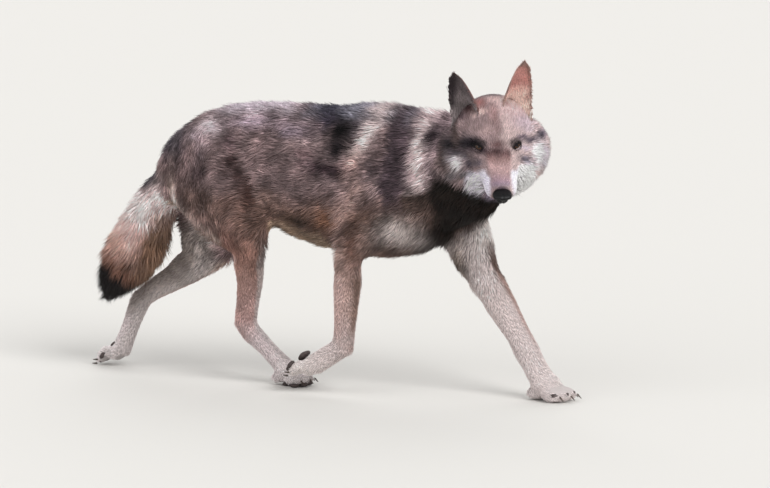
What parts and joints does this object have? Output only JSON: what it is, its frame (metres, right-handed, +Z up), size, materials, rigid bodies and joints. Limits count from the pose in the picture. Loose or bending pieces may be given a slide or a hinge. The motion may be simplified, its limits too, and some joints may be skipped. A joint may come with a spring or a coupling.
{
  "type": "grey wolf figure",
  "caption": "Life-size still model of a grey wolf at a trot, its head lowered and turned to the right, with pricked ears, a bushy hanging tail and a thick winter coat.",
  "frame": {"origin": "on the floor, under the middle of the bounding box", "axes": "+X the way the wolf travels, +Y to its left, +Z up"},
  "size_m": [1.2748, 0.3156, 0.8236],
  "materials": {
    "claw": "dull dark horn",
    "ear": "short dense tan coat with a dark edge",
    "eye": "polished amber glass",
    "lower_leg": "short pale grey-tan coat",
    "head": "short grey-tan coat with white cheeks",
    "jaw": "short white coat",
    "neck": "long banded grey and cream coat",
    "nose": "damp pebbled black skin",
    "tail": "long tan and cream coat",
    "tail_tip": "long black coat",
    "upper_leg": "dense tan coat",
    "trunk": "dense grey-brown winter coat, darker along the back"
  },
  "bodies": {
    "root": {"claw_fore_left_inner": "claw", "claw_fore_left_outer": "claw", "claw_fore_left_second": "claw", "claw_fore_left_third": "claw", "claw_fore_right_inner": "claw", "claw_fore_right_outer": "claw", "claw_fore_right_second": "claw", "claw_fore_right_third": "claw", "claw_hind_left_inner": "claw", "claw_hind_left_outer": "claw", "claw_hind_left_second": "claw", "claw_hind_left_third": "claw", "claw_hind_right_inner": "claw", "claw_hind_right_outer": "claw", "claw_hind_right_second": "claw", "claw_hind_right_third": "claw", "ear_left": "ear", "ear_right": "ear", "eye_left": "eye", "eye_right": "eye", "fore_paw_left": "lower_leg", "fore_paw_right": "lower_leg", "forearm_left": "lower_leg", "forearm_right": "lower_leg", "head": "head", "hind_foot_left": "lower_leg", "hind_foot_right": "lower_leg", "hind_paw_left": "lower_leg", "hind_paw_right": "lower_leg", "lower_jaw": "jaw", "neck": "neck", "nose": "nose", "pastern_left": "lower_leg", "pastern_right": "lower_leg", "shank_left": "lower_leg", "shank_right": "lower_leg", "tail": "tail", "tail_tip": "tail_tip", "thigh_left": "upper_leg", "thigh_right": "upper_leg", "trunk": "trunk", "upper_arm_left": "upper_leg", "upper_arm_right": "upper_leg"}
  },
  "joints": []
}
